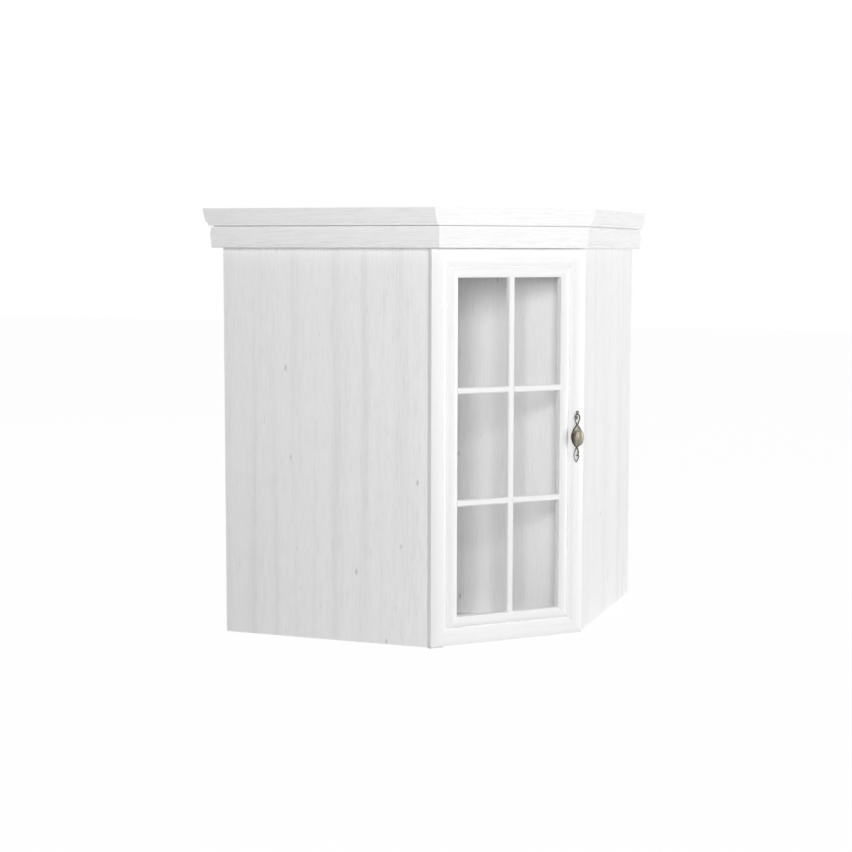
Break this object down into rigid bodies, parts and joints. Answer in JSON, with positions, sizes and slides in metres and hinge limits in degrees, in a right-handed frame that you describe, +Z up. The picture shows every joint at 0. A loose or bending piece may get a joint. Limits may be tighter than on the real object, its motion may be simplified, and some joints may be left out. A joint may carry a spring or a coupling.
{
  "type": "corner display cabinet",
  "caption": "Wall-hung corner display cabinet with a moulded cornice and a glazed, barred front door on concealed pivots.",
  "frame": {"origin": "rear room corner of the carcass, at its underside", "axes": "+Z up, one wall along +X and the other along -Y, the door facing between +X and -Y"},
  "size_m": [0.6526, 0.6526, 0.7585],
  "materials": {
    "washed_wood": "white-washed, satin",
    "raw_pine": "bare, sawn",
    "beech": "bare",
    "clear_glass": "clear",
    "antique_brass": "aged",
    "white_coated_steel": "white powder coat",
    "zinc_steel": "zinc plated",
    "white_plastic": "matte",
    "soft_bumper": "translucent"
  },
  "bodies": {
    "cabinet": {"back_panel_left": "washed_wood", "back_panel_right": "washed_wood", "back_panel_screws": "zinc_steel", "batten_screws": "zinc_steel", "bottom_board": "washed_wood", "carcass_dowels": "beech", "catch_screws": "zinc_steel", "cornice_band_back_left": "washed_wood", "cornice_band_back_right": "washed_wood", "cornice_band_front": "washed_wood", "cornice_band_left": "washed_wood", "cornice_band_right": "washed_wood", "cornice_crown_back_left": "washed_wood", "cornice_crown_back_right": "washed_wood", "cornice_crown_front": "washed_wood", "cornice_crown_left": "washed_wood", "cornice_crown_right": "washed_wood", "cornice_packer": "washed_wood", "door_bumpers": "soft_bumper", "hanging_batten_left": "raw_pine", "hanging_batten_right": "raw_pine", "header_rail": "washed_wood", "inner_back": "washed_wood", "magnet_catch": "white_plastic", "pivot_pin_bottom": "zinc_steel", "pivot_pin_top": "zinc_steel", "pivot_plate_bottom": "white_coated_steel", "pivot_plate_screws": "zinc_steel", "pivot_plate_top": "white_coated_steel", "pivot_washer": "white_plastic", "side_panel_left": "washed_wood", "side_panel_right": "washed_wood", "top_board": "washed_wood", "wall_spacer_left": "raw_pine", "wall_spacer_right": "raw_pine"},
    "door": {"catch_strike": "zinc_steel", "door_glass": "clear_glass", "door_rail_bottom": "washed_wood", "door_rail_top": "washed_wood", "door_stile_left": "washed_wood", "door_stile_right": "washed_wood", "glazing_bead_bottom": "washed_wood", "glazing_bead_left": "washed_wood", "glazing_bead_right": "washed_wood", "glazing_bead_top": "washed_wood", "handle_backplate": "antique_brass", "handle_knob": "antique_brass", "handle_screw": "zinc_steel", "muntin_lower": "washed_wood", "muntin_upper": "washed_wood", "muntin_vertical": "washed_wood", "pivot_bush_bottom": "white_plastic", "pivot_bush_top": "white_plastic", "strike_screw": "zinc_steel"}
  },
  "joints": [
    {"name": "door_hinge", "type": "hinge", "parent": "cabinet", "child": "door", "pos_m": [0.3939, -0.60283, 0.347], "axis": [0, 0, -1], "range_deg": [0, 100]}
  ]
}
